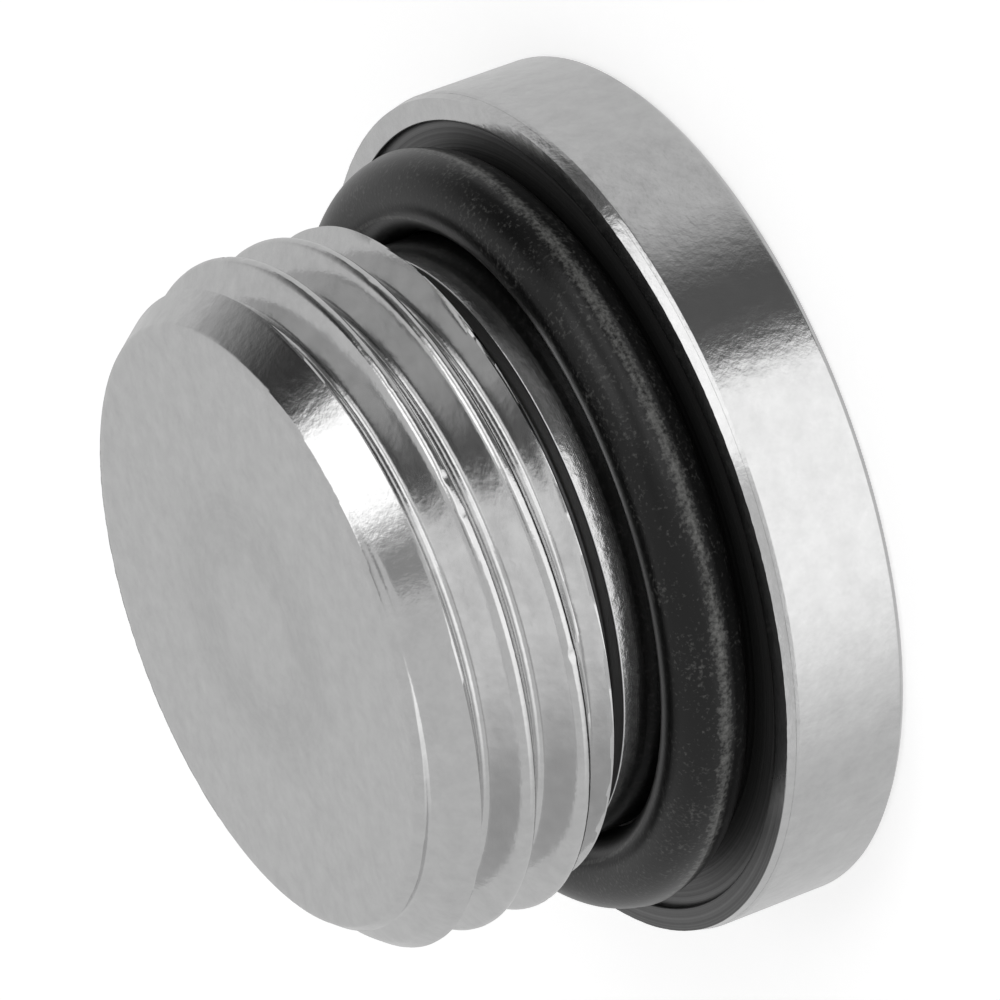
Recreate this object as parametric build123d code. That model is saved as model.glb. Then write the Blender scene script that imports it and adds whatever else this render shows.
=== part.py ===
"""Blanking plug for a half-inch parallel pipe port, with the sealing ring that it carries.

The plug stands on its head: the drive face lies on z = 0, the axis is Z and the threaded shank
points up. All sizes are in millimetres.
"""

import os
from math import ceil, cos, radians, tan

from build123d import *

# Thread: right-hand parallel pipe thread of Whitworth form
thread_major_d = 20.955
thread_pitch = 1.814
thread_flank_angle = 55.0
thread_flat_share = 1 / 6  # width of the crest and root flats, as a share of the pitch

# Shank, measured from the seat of the head
shank_length = 10.1
land_length = 3.15
relief_width = 0.8
relief_depth = 0.9  # below the root of the thread
end_chamfer_height = 1.7
end_chamfer_angle = 37.0  # to the axis
collar_step = 0.4775  # the plain collar that the thread runs out into, below the thread's crests
collar_width = 0.1

# Head
head_d = 26.0
head_thickness = 4.0
seat_edge_height = 0.4
seat_edge_width = 0.1
drive_edge_chamfer = 0.2

# Sealing ring and the recess that it sits in
ring_bore_d = 18.4
ring_section_d = 2.5
ring_clearance = 0.03  # between the ring and the metal it sits on
ring_spread = 0.5  # room round the ring for its squeezed section
recess_depth = 0.25

# Hexagon socket in the drive face
hex_across_flats = 10.0
hex_depth = 7.0
hex_mouth_chamfer = 0.5
drill_oversize = 0.2  # the drilled hole over the flats, so the broach cuts only the corners
drill_overrun = 1.0  # drilled past the end of the hexagon
drill_point_angle = 118.0

# Heights along the axis
seat_z = head_thickness
recess_z = seat_z - recess_depth
land_top_z = seat_z + land_length
thread_base_z = land_top_z + relief_width
end_z = seat_z + shank_length

# Radii
head_r = head_d / 2
land_r = ring_bore_d / 2 - ring_clearance
recess_r = ring_bore_d / 2 + ring_section_d + ring_spread
thread_r = thread_major_d / 2
flank_slope = tan(radians(thread_flank_angle / 2))
thread_depth = thread_pitch * (1 - 2 * thread_flat_share) / (2 * flank_slope)
root_r = thread_r - thread_depth
relief_r = root_r - relief_depth
collar_r = thread_r - collar_step
end_face_r = thread_r - end_chamfer_height * tan(radians(end_chamfer_angle))


def turned(points):
    """Solid of revolution about Z from (radius, height) corners."""
    return revolve(make_face(Plane.XZ * Polyline(*points, close=True)), Axis.Z)


def thread_cutters():
    """One-turn helical cutters, end to end, that leave the thread standing between their turns.

    A crest crosses the +X side at the base of the thread. The first cutter runs in below the base
    and the last one out past the end face, so the thread is cut through at both ends.
    """
    half_root = thread_pitch * thread_flat_share / 2
    half_mouth = thread_pitch * (2 - thread_flat_share) / 4
    outside_r = root_r + (half_mouth - half_root) / flank_slope
    section = Polyline(
        (root_r, -half_root),
        (outside_r, -half_mouth),
        (outside_r, half_mouth),
        (root_r, half_root),
        close=True,
    )
    path = Helix(thread_pitch, thread_pitch, root_r)
    one_turn = sweep(make_face(Plane.XZ * section), path, is_frenet=True)
    first_z = thread_base_z - 1.5 * thread_pitch
    turns = ceil((end_z - first_z) / thread_pitch) + 1
    return [Pos(0, 0, first_z + turn * thread_pitch) * one_turn for turn in range(turns)]


def threaded_end():
    """Threaded part of the shank, bevelled down to the collar and to the end face."""
    collar_top_z = thread_base_z + collar_width
    blank = turned(
        [
            (0, collar_top_z),
            (collar_r, collar_top_z),
            (thread_r, collar_top_z + (thread_r - collar_r) * flank_slope),
            (thread_r, end_z - end_chamfer_height),
            (end_face_r, end_z),
            (0, end_z),
        ]
    )
    return blank - thread_cutters()


def head_and_neck():
    """Flanged head with the ring's recess, the seal land, the thread relief and the collar."""
    collar_top_z = thread_base_z + collar_width
    core_z = collar_top_z + (collar_r - relief_r) * flank_slope
    return turned(
        [
            (0, 0),
            (head_r - drive_edge_chamfer, 0),
            (head_r, drive_edge_chamfer),
            (head_r, seat_z - seat_edge_height),
            (head_r - seat_edge_width, seat_z),
            (recess_r, seat_z),
            (recess_r, recess_z),
            (land_r, recess_z),
            (land_r, land_top_z),
            (relief_r, land_top_z),
            (relief_r, thread_base_z),
            (collar_r, thread_base_z),
            (collar_r, collar_top_z),
            (relief_r, core_z),
            (0, core_z),
        ]
    )


def hex_socket():
    """Drilled and broached drive socket, open at the drive face."""
    drill_r = (hex_across_flats + drill_oversize) / 2
    corner_r = hex_across_flats / 2 / cos(radians(30))
    drill_depth = hex_depth + drill_overrun
    point_height = drill_r / tan(radians(drill_point_angle / 2))
    mouth_r = corner_r + hex_mouth_chamfer
    hexagon = extrude(RegularPolygon(hex_across_flats / 2, 6, major_radius=False), hex_depth)
    drilled = turned([(0, 0), (drill_r, 0), (drill_r, drill_depth), (0, drill_depth + point_height)])
    mouth = turned([(0, 0), (mouth_r, 0), (0, mouth_r)])
    return hexagon + drilled + mouth


def sealing_ring():
    """Rubber ring round the seal land, resting in the head's recess."""
    centre_z = recess_z + ring_clearance + ring_section_d / 2
    centre_r = (ring_bore_d + ring_section_d) / 2
    return Pos(0, 0, centre_z) * Torus(centre_r, ring_section_d / 2)


plug_body = head_and_neck() + threaded_end() - hex_socket()
o_ring = sealing_ring()

os.makedirs("parts", exist_ok=True)
for node, shape in {"plug_body": plug_body, "o_ring": o_ring}.items():
    export_step(shape, f"parts/{node}.step")
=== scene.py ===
"""Blanking plug for a half-inch pipe port, standing on its head on a white studio floor."""

import random
from math import ceil, cos, exp, pi, radians, sin, sqrt, tan

import bmesh
import bpy
from mathutils import Matrix, Vector


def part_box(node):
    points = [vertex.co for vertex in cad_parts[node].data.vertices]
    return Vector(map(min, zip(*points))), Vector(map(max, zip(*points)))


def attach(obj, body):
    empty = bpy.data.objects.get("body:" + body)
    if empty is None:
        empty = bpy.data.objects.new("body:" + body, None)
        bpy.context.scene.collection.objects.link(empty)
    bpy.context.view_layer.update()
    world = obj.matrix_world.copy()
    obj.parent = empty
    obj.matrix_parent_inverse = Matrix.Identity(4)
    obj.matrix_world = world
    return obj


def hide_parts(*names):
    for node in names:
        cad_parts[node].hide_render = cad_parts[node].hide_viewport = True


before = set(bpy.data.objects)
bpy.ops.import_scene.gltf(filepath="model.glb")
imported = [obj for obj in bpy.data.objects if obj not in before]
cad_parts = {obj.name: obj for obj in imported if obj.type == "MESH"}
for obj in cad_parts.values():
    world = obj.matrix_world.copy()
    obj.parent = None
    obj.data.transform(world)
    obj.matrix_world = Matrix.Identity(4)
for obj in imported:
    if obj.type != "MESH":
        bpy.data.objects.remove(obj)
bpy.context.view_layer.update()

# Plug body
# Turned from brass bar in one piece: flanged head with a hexagon socket, seal land, thread relief
# and a right-hand Whitworth pipe thread. The whole piece is then bright nickel plated.
MM = 0.001
_, plug_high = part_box("plug_body")
head_r = plug_high.x / MM
end_z = plug_high.z / MM
seat_z = 4.0
recess_z = 3.75
land_top_z = 7.15
thread_base_z = 7.95
chamfer_height = 1.7
chamfer_slope = tan(radians(37))
collar_r = 10.0
collar_width = 0.1

thread_r = 10.4775
pitch = 1.814
half_angle = radians(27.5)
round_r = 0.1373 * pitch  # rounding of the crests and roots
root_r = thread_r - 0.6403 * pitch  # depth of the Whitworth form
crest_half = round_r * cos(half_angle)  # where the rounding meets the straight flank
flank_top_r = thread_r - round_r * (1 - sin(half_angle))

columns = 528  # steps round the axis, a multiple of 12 so that the hexagon's corners fall on steps
crest_steps = 8
flank_steps = 6


def thread_radius(offset):
    """Radius of the thread at an axial distance from the middle of a crest."""
    x = abs((offset + pitch / 2) % pitch - pitch / 2)
    to_root = pitch / 2 - x
    if x < crest_half:
        return thread_r - round_r + sqrt(round_r**2 - x**2)
    if to_root < crest_half:
        return root_r + round_r - sqrt(round_r**2 - to_root**2)
    return flank_top_r - (x - crest_half) / tan(half_angle)


def lesser(a, b, blend):
    """The smaller of two radii, with the corner between them rounded off."""
    share = min(max(0.5 + 0.5 * (b - a) / blend, 0.0), 1.0)
    return b + (a - b) * share - blend * share * (1 - share)


def rounded(corners, steps=3):
    """Points (radius, height) of a turned profile. Each corner is (radius, height, edge rounding)."""
    points = []
    for k, (r, z, edge) in enumerate(corners):
        here = Vector((r, z))
        if edge == 0:
            points.append(here)
            continue
        back = (Vector(corners[k - 1][:2]) - here).normalized()
        on = (Vector(corners[k + 1][:2]) - here).normalized()
        half = back.angle(on) / 2
        reach = edge / tan(half)
        centre = here + (back + on).normalized() * edge / sin(half)
        start = here + back * reach - centre
        turn = start.angle_signed(here + on * reach - centre)
        points.append(here + back * (reach + edge))
        for s in range(steps + 1):
            points.append(centre + Matrix.Rotation(-turn * s / steps, 2) @ start)
        points.append(here + on * (reach + edge))
    return points


handling = random.Random(7)  # for the marks of tools and handling, the same in each run
plug_mesh = bmesh.new()
angles = [2 * pi * j / columns for j in range(columns)]


def vertex(r, z, angle):
    return plug_mesh.verts.new((r * cos(angle) * MM, r * sin(angle) * MM, z * MM))


def face(*corners):
    """A face on the corners that differ, if at least three do."""
    kept = list(dict.fromkeys(corners))
    if len(kept) > 2:
        plug_mesh.faces.new(kept)


def join(upper, lower):
    """Quads between two rows of vertices that run once round the axis."""
    for j in range(columns):
        face(upper[j - 1], upper[j], lower[j], lower[j - 1])


def turned_rows(row, points, ragged=0.0):
    """Rows of a turned profile, each joined to the row before. Ragged rows dip by up to that much."""
    for r, z in points:
        ring = [vertex(r, z - ragged * handling.random(), angle) for angle in angles]
        join(row, ring)
        row = ring
    return row


# The thread's rows follow the helix. One turn on, a row has moved along by a pitch, so it joins the
# row that many steps further. Rows that run out past either end of the thread meet in a plain ring.
edge_break = 0.05
top_z = end_z - edge_break
foot_z = thread_base_z + edge_break
crest_sweep = radians(62.5)  # from the top of a crest to its flank
crest_rows = [round_r * sin(crest_sweep * (2 * s / crest_steps - 1)) for s in range(crest_steps + 1)]
root_rows = [pitch / 2 + x for x in crest_rows]
flank = pitch / 2 - 2 * crest_half
front_rows = [crest_half + flank * s / flank_steps for s in range(1, flank_steps)]
rear_rows = [pitch / 2 + crest_half + flank * s / flank_steps for s in range(1, flank_steps)]
one_pitch = crest_rows + front_rows + root_rows + rear_rows
per_pitch = len(one_pitch)
turns = ceil((top_z - foot_z) / pitch) + 3
starts = [pitch * (k // per_pitch - 2) + one_pitch[k % per_pitch] for k in range(turns * per_pitch)]
snap = 0.01

# Dents that the crests picked up in handling: turns along the helix, half length in turns and depth
dents = [
    (handling.uniform(-2, 5), handling.uniform(0.0018, 0.0045), handling.uniform(0.008, 0.035)) for _ in range(260)
]


def shank_radius(z, angle):
    """Thread with the lead chamfer over its end, running out into a plain collar at its base."""
    offset = z - thread_base_z - pitch * angle / (2 * pi)
    r = thread_radius(offset)
    if r > thread_r - 0.04:
        along = round(offset / pitch) + angle / (2 * pi)
        r = min(r, thread_r - sum(d * max(0, 1 - abs(along - place) / half) for place, half, d in dents))
    above_collar = max(z - thread_base_z - collar_width, 0)
    r = -lesser(-r, above_collar / tan(half_angle) - collar_r, 0.12)
    r = lesser(r, collar_r + above_collar / tan(half_angle), 0.06)
    return lesser(r, thread_r + (end_z - z - chamfer_height) * chamfer_slope, 0.06)


top_ring = [vertex(shank_radius(top_z, a), top_z, a) for a in angles]
foot_ring = [vertex(shank_radius(foot_z, a), foot_z, a) for a in angles]
thread_columns = []
for j, angle in enumerate(angles):
    column = []
    for start in starts:
        z = thread_base_z + start + pitch * angle / (2 * pi)
        if z > top_z - snap:
            column.append(top_ring[j])
        elif z < foot_z + snap:
            column.append(foot_ring[j])
        else:
            column.append(vertex(shank_radius(z, angle), z, angle))
    thread_columns.append(column)
last = len(starts) - 1
for j in range(columns):
    left = thread_columns[j]
    step = per_pitch if j == columns - 1 else 0
    right = thread_columns[(j + 1) % columns]
    for i in range(last):
        face(left[i + 1], left[i], right[min(i + step, last)], right[min(i + step + 1, last)])

# Flat end face, from the edge of the chamfer, which the tool left ragged, to the middle
torn = [handling.uniform(0.45, 0.95) * edge_break for _ in angles]
breaks = [torn[j - 2] + torn[j - 1] + torn[j] for j in range(columns)]
inner = [vertex(shank_radius(top_z, a) - b, end_z, a) for a, b in zip(angles, breaks)]
join(inner, top_ring)
for r in (root_r - 0.4, root_r - 0.7, 7.5, 5.5, 3.5, 1.5, 0.5):
    ring = [vertex(r, end_z, a) for a in angles]
    join(ring, inner)
    inner = ring
middle = vertex(0, end_z, 0)
for j in range(columns):
    face(middle, inner[j - 1], inner[j])

# Rear wall of the thread, relief, seal land, recess, seat, rim and drive face
wall_ring = [vertex(shank_radius(foot_z, a) - edge_break, thread_base_z, a) for a in angles]
join(foot_ring, wall_ring)
relief_depth = 0.9
relief_r = root_r - relief_depth
land_r = 9.17
lead_in_r = 9.13  # front edge of the land, eased so that the ring slides on
lead_in_z = 6.4
recess_r = 12.2
hex_flats = 10.0
hex_depth = 7.0
drill_r = 5.1
drill_depth = 8.0
drill_point = radians(59)  # half the angle of the drill's point
drive_edge = 0.2
mouth_r = hex_flats / 2 / cos(radians(30)) + 0.5
bevel_width = 0.1
bevel_height = 0.4
bevel_top = (head_r - bevel_width, seat_z)
bevel_foot = (head_r, seat_z - bevel_height)
row = turned_rows(
    wall_ring,
    rounded(
        [
            (relief_r + 0.15, thread_base_z, 0),
            (relief_r, thread_base_z, 0.06),
            (relief_r, land_top_z, 0.06),
            (lead_in_r, land_top_z, 0.03),
            (land_r, lead_in_z, 0.5),
            (land_r, recess_z, 0.1),
            (recess_r, recess_z, 0.1),
            (recess_r, seat_z, 0.05),
            (head_r - 0.3, seat_z, 0),
        ]
    ),
)
bevel_rows = [Vector(bevel_top).lerp(Vector(bevel_foot), share) for share in (0.0, 0.15, 0.5)]
row = turned_rows(row, bevel_rows, ragged=0.014)
row = turned_rows(
    row,
    rounded(
        [
            (head_r - 0.03, seat_z - 0.28, 0),
            (*bevel_foot, 0.12),
            (head_r, drive_edge, 0.1),
            (head_r - drive_edge, 0, 0.06),
            (mouth_r, 0, 0.05),
            (mouth_r - 0.2, 0.2, 0),
        ]
    ),
)


# Socket: mouth cone down to the hexagon, hexagon walls, ledge, drilled hole and drill point
def hexagon_radius(angle):
    """Radius of the broached socket, which the drilled hole cuts into at the flats."""
    turned = (angle + pi / 6) % (pi / 3) - pi / 6
    return max(hex_flats / 2 / cos(turned), drill_r)


socket_angles = [a + pi / 6 for a in angles]
mouth_row = [vertex(hexagon_radius(s), mouth_r - hexagon_radius(s), a) for s, a in zip(socket_angles, angles)]
join(row, mouth_row)
for z in (1.2, hex_depth - 0.1, hex_depth):
    ring = [vertex(hexagon_radius(s), z, a) for s, a in zip(socket_angles, angles)]
    join(mouth_row, ring)
    mouth_row = ring
row = turned_rows(
    mouth_row,
    [
        (drill_r, hex_depth),
        (drill_r, hex_depth + 0.1),
        (drill_r, drill_depth - 0.05),
        (drill_r - 0.05, drill_depth + 0.02),
        (1.0, drill_depth + (drill_r - 1.0) / tan(drill_point)),
    ],
)
tip = vertex(0, drill_depth + drill_r / tan(drill_point), 0)
for j in range(columns):
    face(row[j - 1], row[j], tip)

bmesh.ops.remove_doubles(plug_mesh, verts=plug_mesh.verts, dist=1e-8)
bmesh.ops.recalc_face_normals(plug_mesh, faces=plug_mesh.faces)
mesh = bpy.data.meshes.new("plug_body_turned")
plug_mesh.to_mesh(mesh)
plug_mesh.free()
mesh.shade_smooth()
mesh.set_sharp_from_angle(angle=radians(40))
plug = bpy.data.objects.new("plug_body_turned", mesh)
bpy.context.collection.objects.link(plug)


def linear(hex_colour):
    """Linear colour of an sRGB hex value."""
    parts = [int(hex_colour[k : k + 2], 16) / 255 for k in (1, 3, 5)]
    return tuple(c / 12.92 if c <= 0.04045 else ((c + 0.055) / 1.055) ** 2.4 for c in parts) + (1.0,)


def add(tree, kind, links=(), values=(), **settings):
    """A node with its settings. Each link is (own input, other node, its output), each value (input, value)."""
    made = tree.nodes.new(kind)
    for name, value in settings.items():
        setattr(made, name, value)
    for own, value in values:
        made.inputs[own].default_value = value
    for own, other, output in links:
        tree.links.new(other.outputs[output], made.inputs[own])
    return made


def between(tree, node, low, high, soft_low, soft_high, output=0):
    """Mask that is 1 between two values of a node's output, with a soft edge at each."""
    rise = add(
        tree,
        "ShaderNodeMapRange",
        [(0, node, output)],
        [(1, low - soft_low / 2), (2, low + soft_low / 2)],
        interpolation_type="SMOOTHSTEP",
    )
    fall = add(
        tree,
        "ShaderNodeMapRange",
        [(0, node, output)],
        [(1, high + soft_high / 2), (2, high - soft_high / 2)],
        interpolation_type="SMOOTHSTEP",
    )
    return add(tree, "ShaderNodeMath", [(0, rise, 0), (1, fall, 0)], operation="MULTIPLY")


def noise(tree, place, size, detail, roughness):
    """Noise with features of a size in millimetres."""
    return add(
        tree,
        "ShaderNodeTexNoise",
        [("Vector", place, "Object")],
        [("Scale", 1 / (size * MM)), ("Detail", detail), ("Roughness", roughness)],
    )


# Bright nickel plate over turned brass: a mirror with the fine unevenness of a barrel-plated skin,
# which frays every reflection. On the land and in the recess the tool's turning lines still show.
# In the narrow recess and relief the colour is darkened and streaked as painted shade, and on one
# side of the seat a dark reflection is painted; both places are also rougher
nickel = bpy.data.materials.new("bright_nickel_plate")
nickel.use_nodes = True
tree = nickel.node_tree
shader = tree.nodes["Principled BSDF"]
shader.inputs["Metallic"].default_value = 1.0
place = add(tree, "ShaderNodeTexCoord")
axes = add(tree, "ShaderNodeSeparateXYZ", [(0, place, "Object")])
flat = add(tree, "ShaderNodeCombineXYZ", [(0, axes, 0), (1, axes, 1)])
from_axis = add(tree, "ShaderNodeVectorMath", [(0, flat, 0)], operation="LENGTH")
soft = 0.04 * MM
at_relief = between(tree, axes, land_top_z * MM, thread_base_z * MM, soft, soft, "Z")
at_recess = between(tree, axes, (recess_z - 0.1) * MM, (seat_z - 0.03) * MM, soft, soft, "Z")
out_of_socket = between(tree, from_axis, 6.5 * MM, recess_r * MM + soft, soft, soft, "Value")
# Relief and recess together: where the plate's colour is darkened as painted shade
shaded_hollows = add(tree, "ShaderNodeMath", [(0, at_relief, 0), (1, at_recess, 0)], operation="ADD")
dark_reflection_side = radians(202.9)  # side of the seat on which a dark reflection is painted
# A dark reflection is painted on one side of the seat
at_seat = between(tree, axes, (seat_z - 0.03) * MM, (seat_z + 0.03) * MM, soft / 2, soft / 2, "Z")
to_side = add(
    tree,
    "ShaderNodeVectorMath",
    [(0, flat, 0)],
    [(1, (cos(dark_reflection_side), sin(dark_reflection_side), 0.0))],
    operation="DOT_PRODUCT",
)
at_side = between(tree, to_side, 9.5 * MM, 2 * head_r * MM, 2.4 * MM, soft, "Value")
painted_reflection_on_seat = add(tree, "ShaderNodeMath", [(0, at_seat, 0), (1, at_side, 0)], operation="MULTIPLY")
# Painted shade in the hollows plus the painted dark reflection on the seat; the same mask also makes these places
# rougher
painted_shade_and_dull = add(
    tree, "ShaderNodeMath", [(0, shaded_hollows, 0), (1, out_of_socket, 0), (2, painted_reflection_on_seat, 0)], operation="MULTIPLY_ADD"
)
at_land = between(tree, axes, (recess_z - 0.1) * MM, thread_base_z * MM, soft, soft, "Z")
unpolished = add(tree, "ShaderNodeMath", [(0, at_land, 0), (1, out_of_socket, 0)], operation="MULTIPLY")

tool_path = add(tree, "ShaderNodeMath", [(0, axes, 2), (1, from_axis, "Value")], operation="ADD")
turning = add(
    tree,
    "ShaderNodeTexNoise",
    [("W", tool_path, 0)],
    [("Scale", 1 / (0.16 * MM)), ("Detail", 3.0), ("Roughness", 0.65)],
    noise_dimensions="1D",
)
tool_mark = add(tree, "ShaderNodeMapRange", [(0, unpolished, 0)], [(3, 0.05), (4, 0.32)])
lines = add(tree, "ShaderNodeMath", [(0, turning, 0), (1, tool_mark, 0)], operation="MULTIPLY")
skin = noise(tree, place, 0.32, 4.0, 0.6)
surface = add(tree, "ShaderNodeMath", [(0, lines, 0), (1, skin, 0)], operation="ADD")
relief = add(tree, "ShaderNodeBump", [("Height", surface, 0)], [("Strength", 1.0), ("Distance", 0.010 * MM)])

haze = noise(tree, place, 0.7, 6.0, 0.7)
middle_marks = between(tree, from_axis, 2.2 * MM, 4.2 * MM, 1.4 * MM, 1.6 * MM, "Value")
at_end = between(tree, axes, (end_z - 0.1) * MM, (end_z + 1) * MM, soft, soft, "Z")
marked = add(tree, "ShaderNodeMath", [(0, middle_marks, 0), (1, at_end, 0)], operation="MULTIPLY")
arcs = add(tree, "ShaderNodeMath", [(0, marked, 0), (1, turning, 0)], operation="MULTIPLY")
mottle = add(tree, "ShaderNodeMath", [(0, arcs, 0), (2, haze, 0)], [(1, -0.4)], operation="MULTIPLY_ADD")
stain = add(tree, "ShaderNodeMapRange", [(0, mottle, 0)], [(1, 0.2), (2, 0.75)])
bright = add(
    tree,
    "ShaderNodeMix",
    [("Factor", stain, 0)],
    [(6, linear("#c8c8c8")), (7, linear("#dadada"))],
    data_type="RGBA",
)
# Dark streaked colour of the painted shade and painted reflection
painted_shade_streaks = add(
    tree,
    "ShaderNodeMix",
    [("Factor", turning, 0)],
    [(6, linear("#343434")), (7, linear("#949494"))],
    data_type="RGBA",
)
tint = add(tree, "ShaderNodeMix", [("Factor", painted_shade_and_dull, 0), (6, bright, 2), (7, painted_shade_streaks, 2)], data_type="RGBA")
polish = add(tree, "ShaderNodeMapRange", [(0, haze, 0)], [(1, 0.3), (2, 0.7), (3, 0.19), (4, 0.13)])
rough = add(tree, "ShaderNodeMix", [("Factor", painted_shade_and_dull, 0), (2, polish, 0)], [(3, 0.5)], data_type="FLOAT")
tree.links.new(tint.outputs[2], shader.inputs["Base Color"])
tree.links.new(rough.outputs[0], shader.inputs["Roughness"])
tree.links.new(relief.outputs[0], shader.inputs["Normal"])
mesh.materials.append(nickel)
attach(plug, "root")
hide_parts("plug_body")

# Sealing ring
# Moulded black nitrile rubber, round in section, stretched over the seal land and resting in the
# head's recess, a little askew as it was pushed on by hand. A rough line of flash runs round its
# outside, where the halves of the mould met.
ring_low, ring_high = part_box("o_ring")
section_r = (ring_high.z - ring_low.z) / 2 / MM
ring_r = ring_high.x / MM - section_r
ring_z = (ring_high.z + ring_low.z) / 2 / MM
ring_columns = 360
ring_rows = 96
flash_height = 0.03
flash_half = 0.07

ring_mesh = bmesh.new()
loops = []
for j in range(ring_columns):
    around = 2 * pi * j / ring_columns
    loop = []
    for i in range(ring_rows):
        across = 2 * pi * i / ring_rows
        from_parting = section_r * min(across, 2 * pi - across)
        r = ring_r + (section_r - flash_height * (1 - exp(-((from_parting / flash_half) ** 2)))) * cos(across)
        z = ring_z + section_r * sin(across)
        loop.append(ring_mesh.verts.new((r * cos(around) * MM, r * sin(around) * MM, z * MM)))
    loops.append(loop)
for j in range(ring_columns):
    for i in range(ring_rows):
        ring_mesh.faces.new((loops[j - 1][i - 1], loops[j][i - 1], loops[j][i], loops[j - 1][i]))
bmesh.ops.recalc_face_normals(ring_mesh, faces=ring_mesh.faces)
mesh = bpy.data.meshes.new("o_ring_moulded")
ring_mesh.to_mesh(mesh)
ring_mesh.free()
mesh.shade_smooth()
ring = bpy.data.objects.new("o_ring_moulded", mesh)
bpy.context.collection.objects.link(ring)
askew = radians(0.7)
high_side = radians(202.9)  # direction in which the ring stands off the recess
lift = (ring_r + section_r) * sin(askew) * MM
hinge = Vector((sin(high_side), -cos(high_side), 0))
ring_middle = Vector((0, 0, ring_z * MM))
raised = Matrix.Translation(ring_middle + Vector((0, 0, lift)))
ring.matrix_world = raised @ Matrix.Rotation(askew, 4, hinge) @ Matrix.Translation(-ring_middle)

# Black nitrile rubber: a soft satin sheen, with pale talc from the mould that clings as fine specks,
# thickest along the flash; the thin pale line on the ring's inner shoulder is a painted highlight in the same
# speckled colour
rubber = bpy.data.materials.new("moulded_nitrile_rubber")
rubber.use_nodes = True
tree = rubber.node_tree
shader = tree.nodes["Principled BSDF"]
place = add(tree, "ShaderNodeTexCoord")
axes = add(tree, "ShaderNodeSeparateXYZ", [(0, place, "Object")])
flat = add(tree, "ShaderNodeCombineXYZ", [(0, axes, 0), (1, axes, 1)])
from_axis = add(tree, "ShaderNodeVectorMath", [(0, flat, 0)], operation="LENGTH")
outwards = add(tree, "ShaderNodeMath", [(0, from_axis, "Value")], [(1, ring_r * MM)], operation="SUBTRACT")
upwards = add(tree, "ShaderNodeMath", [(0, axes, 2)], [(1, ring_z * MM)], operation="SUBTRACT")
across = add(tree, "ShaderNodeMath", [(0, upwards, 0), (1, outwards, 0)], operation="ARCTAN2")
grain = noise(tree, place, 0.13, 3.0, 0.6)
cloud = noise(tree, place, 1.4, 4.0, 0.6)
at_flash = between(tree, across, radians(-9), radians(9), radians(14), radians(14))
# A thin pale line on the inner shoulder: a painted highlight, mixed in with the talc
painted_shoulder_highlight = between(tree, across, radians(112), radians(118), radians(3), radians(3))
talc_and_highlight_lines = add(tree, "ShaderNodeMath", [(0, at_flash, 0), (1, painted_shoulder_highlight, 0)], operation="ADD")
talc_and_highlight_grained = add(tree, "ShaderNodeMath", [(0, talc_and_highlight_lines, 0), (2, grain, 0)], [(1, 0.28)], operation="MULTIPLY_ADD")
talc_and_highlight_cover = add(tree, "ShaderNodeMath", [(0, cloud, 0), (2, talc_and_highlight_grained, 0)], [(1, 0.45)], operation="MULTIPLY_ADD")
talc_and_highlight = add(tree, "ShaderNodeMapRange", [(0, talc_and_highlight_cover, 0)], [(1, 0.79), (2, 1.25), (3, 0.0), (4, 1.0)])
tint = add(
    tree,
    "ShaderNodeMix",
    [("Factor", talc_and_highlight, 0)],
    [(6, linear("#0e0e0e")), (7, linear("#6c6c6a"))],
    data_type="RGBA",
)
relief = add(tree, "ShaderNodeBump", [("Height", grain, 0)], [("Strength", 1.0), ("Distance", 0.005 * MM)])
shader.inputs["Roughness"].default_value = 0.28
shader.inputs["Specular IOR Level"].default_value = 0.35
tree.links.new(tint.outputs[2], shader.inputs["Base Color"])
tree.links.new(relief.outputs[0], shader.inputs["Normal"])
mesh.materials.append(rubber)
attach(ring, "root")
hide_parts("o_ring")

# Floor
# White studio floor just under the plug. Only the camera sees it, so the polished metal mirrors the
# studio round it, and it keeps the plug's soft shadow. From below it is clear, to show the socket.
floor_mesh = bpy.data.meshes.new("studio_floor")
side = 2.0
under = -0.02 * MM
floor_mesh.from_pydata(
    [(-side, -side, under), (side, -side, under), (side, side, under), (-side, side, under)], [], [(0, 1, 2, 3)]
)
floor = bpy.data.objects.new("studio_floor", floor_mesh)
bpy.context.collection.objects.link(floor)
floor.visible_glossy = False
floor.visible_diffuse = False
floor.visible_shadow = False
white = bpy.data.materials.new("white_paper")
white.use_nodes = True
tree = white.node_tree
shader = tree.nodes["Principled BSDF"]
shader.inputs["Base Color"].default_value = linear("#f2f2f2")
shader.inputs["Roughness"].default_value = 1.0
shader.inputs["Specular IOR Level"].default_value = 0.0
shader.inputs["Emission Color"].default_value = (1, 1, 1, 1)
shader.inputs["Emission Strength"].default_value = 0.46
underside = add(tree, "ShaderNodeNewGeometry")
clear = add(tree, "ShaderNodeBsdfTransparent")
one_sided = add(tree, "ShaderNodeMixShader", [(0, underside, "Backfacing"), (1, shader, 0), (2, clear, 0)])
tree.links.new(one_sided.outputs[0], tree.nodes["Material Output"].inputs["Surface"])
floor_mesh.materials.append(white)

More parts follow.
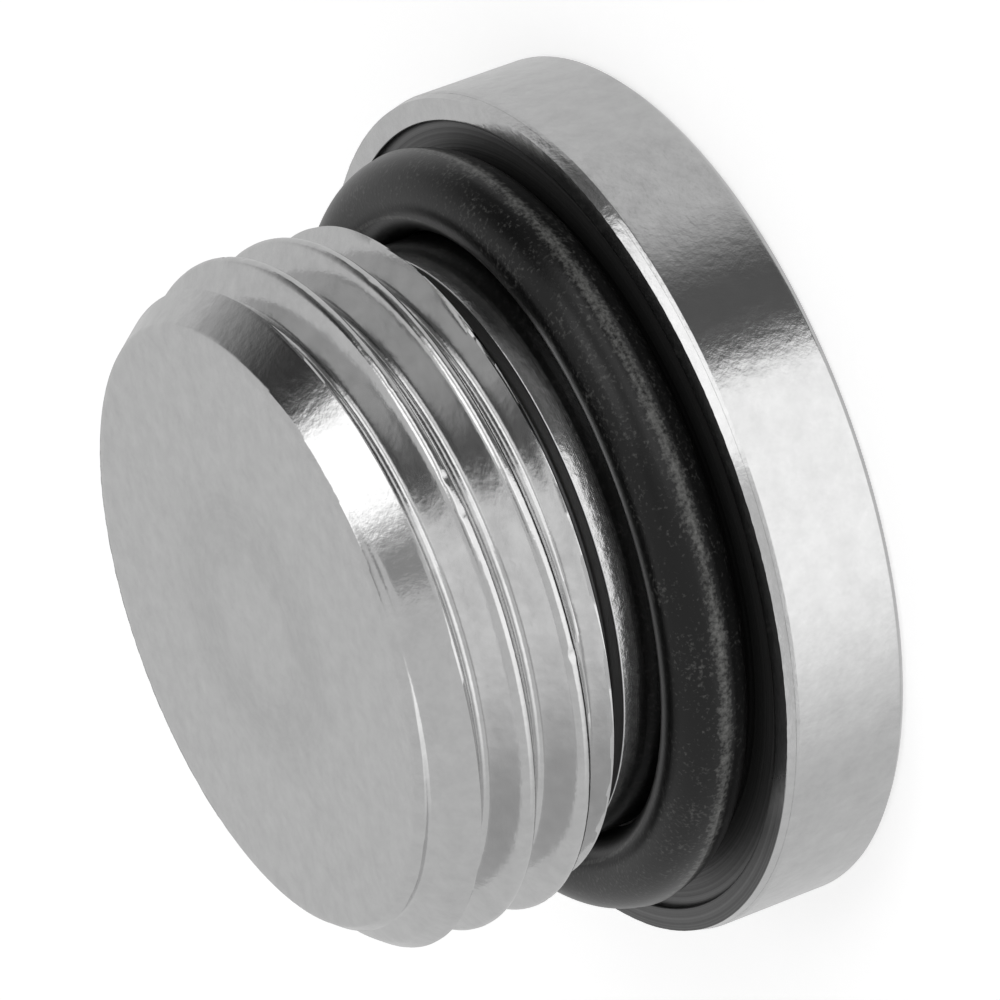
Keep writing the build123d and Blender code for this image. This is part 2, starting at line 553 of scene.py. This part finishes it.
# Studio
# Soft grey surroundings with white boxes and black flags, all far away, given in degrees of azimuth
# from the camera and of elevation.
view_azimuth = radians(22.9)
studio = bpy.data.worlds.new("studio")
bpy.context.scene.world = studio
studio.use_nodes = True
tree = studio.node_tree
tree.nodes.clear()
surroundings = 0.79
panels = [
    # azimuth from and to, soft width of each edge, elevation from and to, soft width, brightness
    (-67, 30, 64, 10, -70, -4, 8, 1.6),
    (21, 55, 9, 24, -36, -8, 8, 0.12),
    (21, 50, 6, 24, -70, -36, 6, 0.12),
    (-4, 65, 8, 5, -3, 16, 6, 1.8),
    (48, 90, 8, 12, -21, -6, 5, 0.13),
    (67, 118, 4, 14, -6, 9, 6, 0.12),
    (24, 70, 14, 4, 36, 62, 6, 2.2),
    (-7, 14, 10, 12, 40, 62, 8, 0.36),
    (73, 120, 4, 60, 9, 41, 6, 0.04),
]
direction = add(tree, "ShaderNodeTexCoord")
turned_to_view = add(
    tree,
    "ShaderNodeVectorRotate",
    [("Vector", direction, "Generated")],
    [("Angle", -view_azimuth)],
    rotation_type="Z_AXIS",
)
axes = add(tree, "ShaderNodeSeparateXYZ", [("Vector", turned_to_view, 0)])
towards = add(tree, "ShaderNodeMath", [(0, axes, "Y")], [(1, -1.0)], operation="MULTIPLY")
azimuth = add(tree, "ShaderNodeMath", [(0, axes, "X"), (1, towards, 0)], operation="ARCTAN2")
elevation = add(tree, "ShaderNodeMath", [(0, axes, "Z")], operation="ARCSINE")
light = add(tree, "ShaderNodeValue")
light.outputs[0].default_value = surroundings
for az0, az1, soft0, soft1, el0, el1, soft_el, brightness in panels:
    across = between(tree, azimuth, *(radians(a) for a in (az0, az1, soft0, soft1)))
    along = between(tree, elevation, *(radians(a) for a in (el0, el1, soft_el, soft_el)))
    mask = add(tree, "ShaderNodeMath", [(0, across, 0), (1, along, 0)], operation="MULTIPLY")
    light = add(
        tree, "ShaderNodeMix", [("Factor", mask, 0), (2, light, 0)], [(3, brightness)], data_type="FLOAT"
    )
seen = add(tree, "ShaderNodeLightPath")
shown = add(
    tree, "ShaderNodeMix", [("Factor", seen, "Is Camera Ray"), (2, light, 0)], [(3, 1.0)], data_type="FLOAT"
)
glow = add(tree, "ShaderNodeBackground", [("Strength", shown, 0)])
add(tree, "ShaderNodeOutputWorld", [("Surface", glow, "Background")])

# Camera
# A long lens from above the end of the thread, rolled so that the plug lies over to the left.
camera_data = bpy.data.cameras.new("camera")
camera_data.sensor_width = 36.0
camera_data.lens = 360.0
camera = bpy.data.objects.new("camera", camera_data)
bpy.context.collection.objects.link(camera)
bpy.context.scene.camera = camera
view_elevation = radians(24.10)
view_roll = radians(110.24)
view_distance = 293.46 * MM
aim_side = 0.996 * MM
aim_z = 5.380 * MM
level = cos(view_elevation)
back = Vector((sin(view_azimuth) * level, -cos(view_azimuth) * level, sin(view_elevation)))
side_way = Vector((cos(view_azimuth), sin(view_azimuth), 0))
plain_up = back.cross(side_way)
up = plain_up * cos(view_roll) + side_way * sin(view_roll)
right = up.cross(back)
turn = Matrix((right, up, back)).transposed().to_4x4()
aim = side_way * aim_side + Vector((0, 0, aim_z))
camera.matrix_world = Matrix.Translation(aim + back * view_distance) @ turn

bpy.context.scene.view_settings.view_transform = "Standard"
